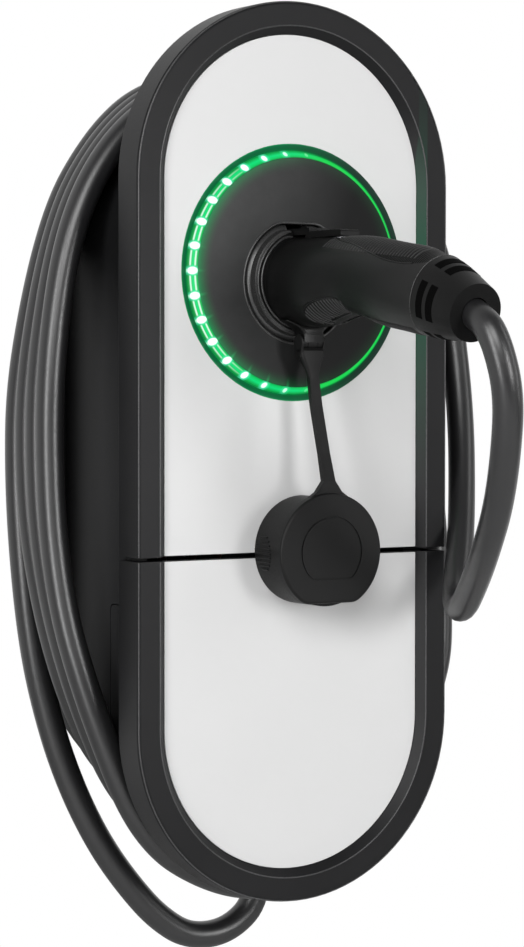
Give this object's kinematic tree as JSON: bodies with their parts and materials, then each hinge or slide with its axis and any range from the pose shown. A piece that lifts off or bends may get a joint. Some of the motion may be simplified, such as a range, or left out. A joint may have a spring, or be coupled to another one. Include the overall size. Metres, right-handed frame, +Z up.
{
  "type": "ev wallbox",
  "caption": "Upright capsule-shaped wall charging box with a ring light and holster, its cable wound round the neck and its connector parked in front.",
  "frame": {"origin": "on the wall plane, halfway up the body and on its centre line", "axes": "+X to the right seen from the front, +Y into the wall, +Z up; the front faces -Y"},
  "size_m": [0.2568, 0.2927, 0.5016],
  "materials": {
    "black_plastic": "fine matt texture, near black",
    "boot_rubber": "soft boot with slots",
    "brass_bar": "machined brass",
    "cable_jacket": "satin cable jacket",
    "cap_rubber": "soft moulded cap",
    "capacitor_sleeve": "shrink sleeve",
    "carrier_plastic": "smooth insulator",
    "channel_plastic": "dark green translucent channel",
    "circuit_board": "green solder mask",
    "connector_plastic": "fine matt texture",
    "contact_silver": "silver plated sleeves",
    "disc_gloss": "smooth dark plastic",
    "gland_plastic": "black nylon",
    "grip_rubber": "ribbed soft grip",
    "led_lens": "white diode bodies",
    "light_guide": "translucent light guide, lit green",
    "pin_steel": "ground pin",
    "relay_case": "moulded dark blue case",
    "screw_steel": "zinc plated screw",
    "seal_rubber": "soft black rubber",
    "shield_can": "tinned shield can",
    "spring_steel": "spring strip",
    "terminal_grey": "grey terminal housing",
    "white_panel": "smooth white, soft satin",
    "winding_tape": "yellow winding tape",
    "wire_insulation": "wire insulation",
    "zinc_steel": "zinc plated pressed sheet"
  },
  "bodies": {
    "charger": {"board_screws": "screw_steel", "bracket_screw": "screw_steel", "cable_coil": "cable_jacket", "cable_end": "cable_jacket", "cable_lead": "cable_jacket", "cable_tail": "cable_jacket", "cap_pin": "pin_steel", "capacitors": "capacitor_sleeve", "connector_boot": "boot_rubber", "connector_shell": "connector_plastic", "contact_carrier": "carrier_plastic", "contacts": "contact_silver", "cover_screws": "screw_steel", "cover_seal": "seal_rubber", "cup_screws": "screw_steel", "current_sensor": "relay_case", "earth_bar": "brass_bar", "finger_grip": "grip_rubber", "gland_body": "gland_plastic", "gland_nut": "gland_plastic", "gland_seal": "seal_rubber", "gland_washer": "seal_rubber", "holster_cup": "black_plastic", "holster_disc": "disc_gloss", "latch_pin": "pin_steel", "latch_spring": "spring_steel", "led_board": "circuit_board", "leds": "led_lens", "light_ring": "light_guide", "lower_cover_screw": "screw_steel", "lower_front_cover": "black_plastic", "lower_panel": "white_panel", "main_board": "circuit_board", "power_leads": "wire_insulation", "radio_module": "shield_can", "rear_housing": "black_plastic", "relays": "relay_case", "ring_channel": "channel_plastic", "supply_grommet": "seal_rubber", "terminal_block": "terminal_grey", "terminal_screws": "screw_steel", "top_grip": "grip_rubber", "transformer": "winding_tape", "under_grip": "grip_rubber", "upper_front_cover": "black_plastic", "upper_panel": "white_panel", "wall_bracket": "zinc_steel"},
    "latch_lever": {"latch_lever": "connector_plastic"},
    "dust_cap": {"dust_cap": "cap_rubber"}
  },
  "joints": [
    {"name": "latch_hinge", "type": "hinge", "parent": "charger", "child": "latch_lever", "pos_m": [0, -0.132, 0.1045], "axis": [1, 0, 0], "range_deg": [0, 5], "stiffness_Nm_per_rad": 0.5, "springref_deg": -11.46, "deforming": ["latch_spring"]},
    {"name": "cap_hinge", "type": "hinge", "parent": "charger", "child": "dust_cap", "pos_m": [0, -0.124, 0.0565], "axis": [-1, 0, 0], "range_deg": [0, 40]}
  ]
}
